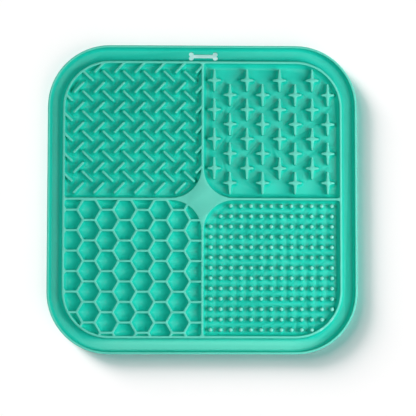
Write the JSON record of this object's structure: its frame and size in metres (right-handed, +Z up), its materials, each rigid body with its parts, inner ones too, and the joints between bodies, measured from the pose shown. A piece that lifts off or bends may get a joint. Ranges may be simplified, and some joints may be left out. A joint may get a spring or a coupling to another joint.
{
  "type": "lick mat",
  "caption": "Rounded square moulded lick mat with a rim gutter, pockets textured with ridges, star posts, honeycomb cells and pins, and a bone shaped hanging hole.",
  "frame": {"origin": "middle of the flat underside", "axes": "+Z up out of the textured face, +Y towards the edge with the bone shaped hole, +X towards the star and pin pockets"},
  "size_m": [0.2, 0.1996, 0.007],
  "materials": {
    "silicone": "satin, dust-dulled on the flat tops"
  },
  "bodies": {
    "root": {"mat": "silicone"}
  },
  "joints": []
}
